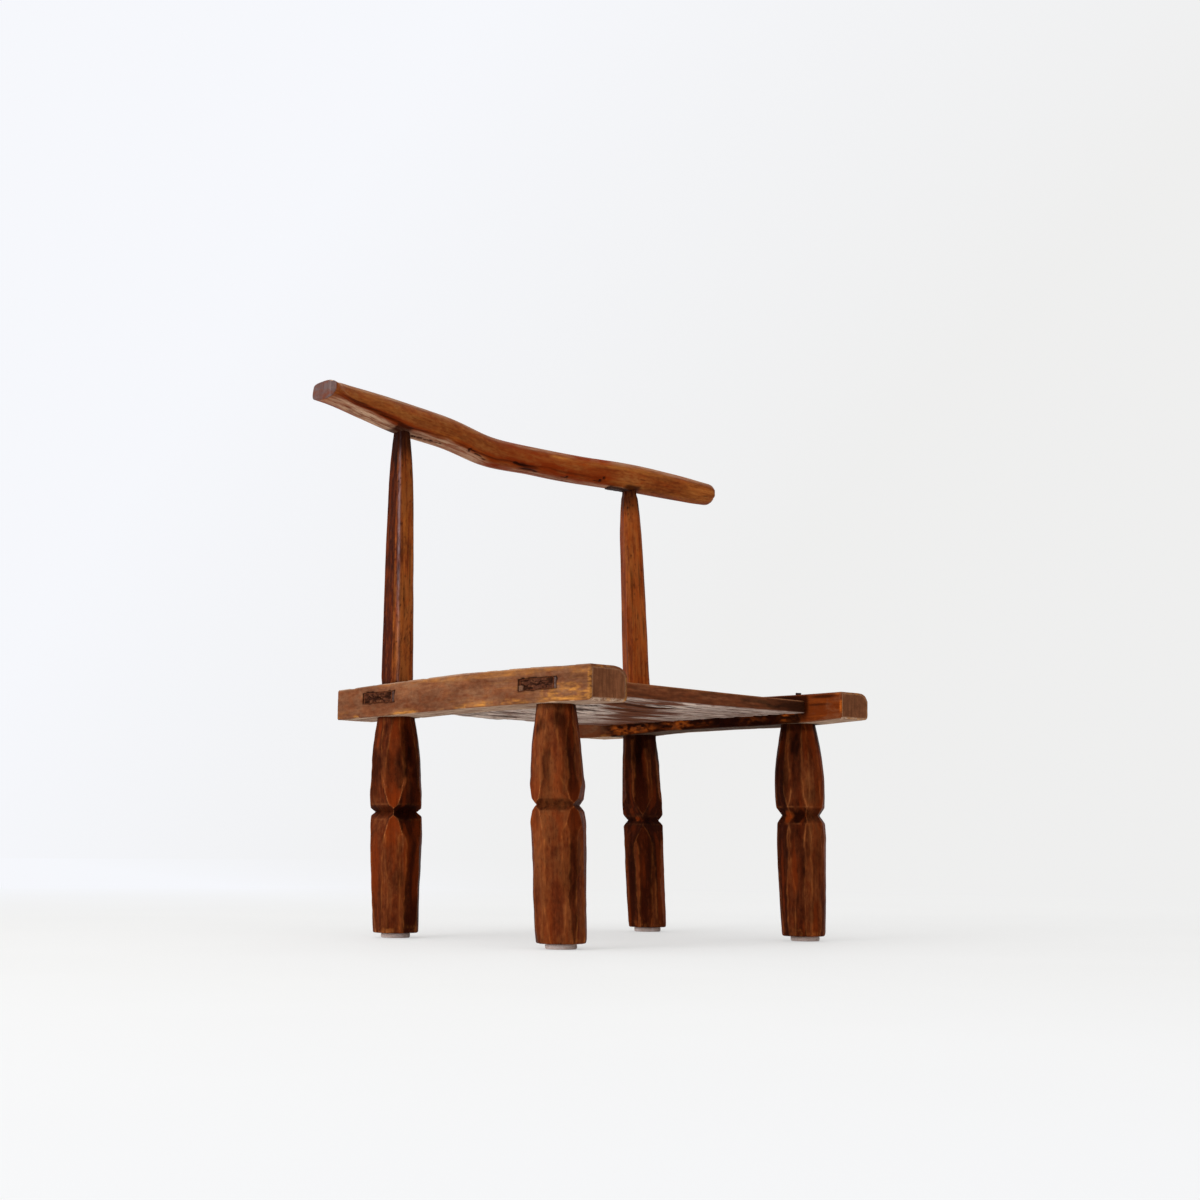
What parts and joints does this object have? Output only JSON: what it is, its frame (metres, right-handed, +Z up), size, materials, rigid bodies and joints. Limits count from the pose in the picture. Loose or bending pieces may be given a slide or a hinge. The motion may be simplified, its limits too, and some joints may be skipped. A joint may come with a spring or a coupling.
{
  "type": "birthing chair",
  "caption": "Low hand-carved birthing chair: heavy side rails, a through-tenoned board seat, faceted notched legs, slender back posts and a crooked-branch crest rail.",
  "frame": {"origin": "bottom centre of the whole chair, on the floor", "axes": "-Y is the way the sitter faces, +Z is up, and +X is to the sitter's left, which is the right-hand side seen from the front"},
  "size_m": [0.5596, 0.4248, 0.5656],
  "materials": {
    "rail_wood": "worn, waxed",
    "seat_wood": "worn on top, dry and weathered below",
    "leg_wood": "knife-cut, waxed",
    "post_wood": "knife-cut, waxed",
    "crest_wood": "hand-polished",
    "wedge_wood": "split end grain",
    "felt": "felt"
  },
  "bodies": {
    "root": {"crest_rail": "crest_wood", "crest_shim": "wedge_wood", "front_left_foot_pad": "felt", "front_left_leg": "leg_wood", "front_left_leg_wedge": "wedge_wood", "front_left_mortise_filler": "wedge_wood", "front_left_tenon_shim": "wedge_wood", "front_right_foot_pad": "felt", "front_right_leg": "leg_wood", "front_right_leg_wedge": "wedge_wood", "front_right_tenon_shim": "wedge_wood", "left_back_post": "post_wood", "left_rail": "rail_wood", "rear_left_foot_pad": "felt", "rear_left_leg": "leg_wood", "rear_left_tenon_shim": "wedge_wood", "rear_right_foot_pad": "felt", "rear_right_leg": "leg_wood", "rear_right_tenon_shim": "wedge_wood", "right_back_post": "post_wood", "right_rail": "rail_wood", "seat_board": "seat_wood"}
  },
  "joints": []
}
